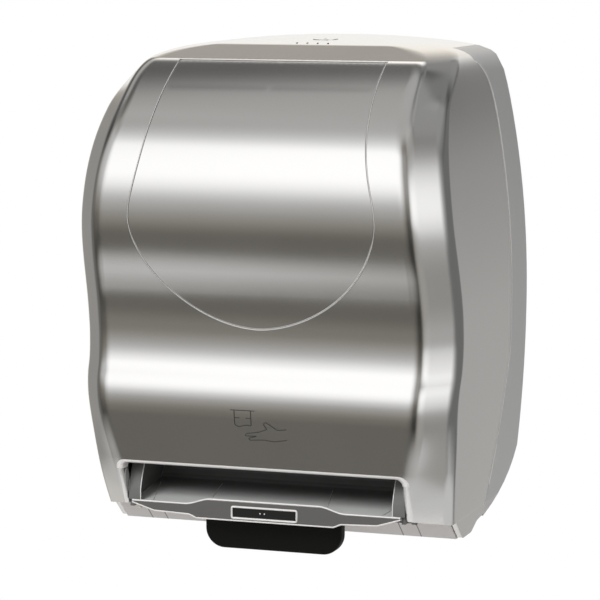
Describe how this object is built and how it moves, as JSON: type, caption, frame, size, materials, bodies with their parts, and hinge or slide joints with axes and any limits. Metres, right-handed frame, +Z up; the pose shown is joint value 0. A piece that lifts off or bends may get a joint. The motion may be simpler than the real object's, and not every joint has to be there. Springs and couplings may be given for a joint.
{
  "type": "automatic roll towel dispenser",
  "caption": "Wall-mounted automatic roll towel dispenser: satin silver cover hinged at the foot, towel slot with sensor window, motor feed and a black push lever.",
  "frame": {"origin": "centre of the four wall screw holes, on the back face that meets the wall", "axes": "+X to the right seen from the front, +Y into the wall, +Z up"},
  "size_m": [0.298, 0.237, 0.3859],
  "materials": {
    "silver_shell": "satin metallic coating with a fine vertical brush",
    "housing_grey": "satin grey moulding",
    "chute_grey": "satin grey moulding",
    "black_lever": "satin black moulding",
    "black_lens": "gloss black lens",
    "steel": "turned steel",
    "spring_steel": "drawn wire",
    "roller_rubber": "matt moulded rubber",
    "bearing_plastic": "natural acetal",
    "gear_plastic": "natural acetal",
    "brass": "cut brass",
    "dark_plastic": "textured dark grey moulding",
    "plug_blue": "smooth moulding",
    "circuit_board": "solder resist",
    "cell_jacket": "printed foil jacket",
    "red_button": "gloss moulding",
    "switch_white": "smooth moulding",
    "card_core": "wound card",
    "towel_paper": "embossed paper"
  },
  "bodies": {
    "housing": {"rear_housing": "housing_grey", "hinge_pins": "steel", "left_frame": "housing_grey", "right_frame": "housing_grey", "chute": "chute_grey", "front_beam": "housing_grey", "tear_bar": "steel", "sensor_window": "black_lens", "sensor_board": "circuit_board", "ir_pair": "black_lens", "roller_bushes": "bearing_plastic", "pinch_blocks": "bearing_plastic", "pinch_springs": "spring_steel", "drive_motor": "steel", "idler_pin": "steel", "gear_cover": "dark_plastic", "lever_spring": "spring_steel", "battery_box": "dark_plastic", "battery_cells": "cell_jacket", "battery_springs": "spring_steel", "door_pins": "steel", "control_box": "dark_plastic", "control_board": "circuit_board", "left_arm": "dark_plastic", "left_plug": "plug_blue", "arm_bracket": "dark_plastic", "arm_pin": "steel", "arm_spring": "spring_steel", "frame_screws": "steel"},
    "cover": {"front_cover": "silver_shell", "window_panel": "silver_shell", "lock_barrel": "steel"},
    "lock": {"lock_plug": "steel", "lock_cam": "steel"},
    "feed_roller": {"feed_shaft": "steel", "feed_sleeves": "roller_rubber", "roller_gear": "gear_plastic"},
    "pinch_roller": {"pinch_shaft": "steel", "pinch_sleeves": "roller_rubber"},
    "idler": {"idler_gear": "gear_plastic"},
    "motor_rotor": {"motor_shaft": "steel", "motor_pinion": "brass"},
    "push_lever": {"lever": "black_lever", "lever_shaft": "steel", "lever_sector": "gear_plastic"},
    "clutch": {"clutch_pinion": "brass"},
    "door": {"battery_door": "dark_plastic"},
    "button": {"feed_button": "red_button"},
    "selector": {"length_switch": "switch_white"},
    "swing_arm": {"right_arm": "dark_plastic", "right_plug": "plug_blue"},
    "roll": {"roll_core": "card_core", "towel_roll": "towel_paper"}
  },
  "joints": [
    {"name": "cover_hinge", "type": "hinge", "parent": "housing", "child": "cover", "pos_m": [0, -0.122, -0.227], "axis": [1, 0, 0], "range_deg": [0, 95]},
    {"name": "lock_turn", "type": "hinge", "parent": "cover", "child": "lock", "pos_m": [0, -0.06, 0.135], "axis": [0, 0, 1], "range_deg": [0, 90]},
    {"name": "feed_spin", "type": "hinge", "parent": "housing", "child": "feed_roller", "pos_m": [0, -0.148, -0.15051], "axis": [1, 0, 0], "continuous": true},
    {"name": "pinch_spin", "type": "hinge", "parent": "housing", "child": "pinch_roller", "pos_m": [0, -0.1743, -0.15051], "axis": [1, 0, 0], "continuous": true},
    {"name": "idler_spin", "type": "hinge", "parent": "housing", "child": "idler", "pos_m": [0.112, -0.12357, -0.14162], "axis": [1, 0, 0], "continuous": true},
    {"name": "motor_spin", "type": "hinge", "parent": "housing", "child": "motor_rotor", "pos_m": [0.118, -0.09698, -0.1463], "axis": [1, 0, 0], "continuous": true},
    {"name": "lever_push", "type": "hinge", "parent": "housing", "child": "push_lever", "pos_m": [0, -0.172, -0.216], "axis": [1, 0, 0], "range_deg": [0, 22], "stiffness_Nm_per_rad": 0.6},
    {"name": "clutch_turn", "type": "hinge", "parent": "housing", "child": "clutch", "pos_m": [-0.1145, -0.148, -0.15051], "axis": [1, 0, 0], "range_deg": [-75.5, 0]},
    {"name": "door_hinge", "type": "hinge", "parent": "housing", "child": "door", "pos_m": [-0.031, -0.0432, -0.174], "axis": [1, 0, 0], "range_deg": [0, 90]},
    {"name": "button_press", "type": "slide", "parent": "housing", "child": "button", "axis": [0, 0, -1], "range_m": [0, 0.002], "stiffness_N_per_m": 300},
    {"name": "length_slide", "type": "slide", "parent": "housing", "child": "selector", "axis": [1, 0, 0], "range_m": [0, 0.005]},
    {"name": "arm_swing", "type": "hinge", "parent": "housing", "child": "swing_arm", "pos_m": [0.112, -0.0145, 0.01], "axis": [0, 0, 1], "range_deg": [0, 12], "stiffness_Nm_per_rad": 1.5},
    {"name": "roll_spin", "type": "hinge", "parent": "housing", "child": "roll", "pos_m": [0, -0.112, 0.01], "axis": [1, 0, 0], "continuous": true}
  ],
  "couplings": [
    {"joint": "pinch_spin", "follows": "feed_spin", "ratio": -1.8889},
    {"joint": "idler_spin", "follows": "feed_spin", "ratio": -2.7143},
    {"joint": "motor_spin", "follows": "feed_spin", "ratio": 9.5},
    {"joint": "clutch_turn", "follows": "lever_push", "ratio": -3.4286}
  ]
}
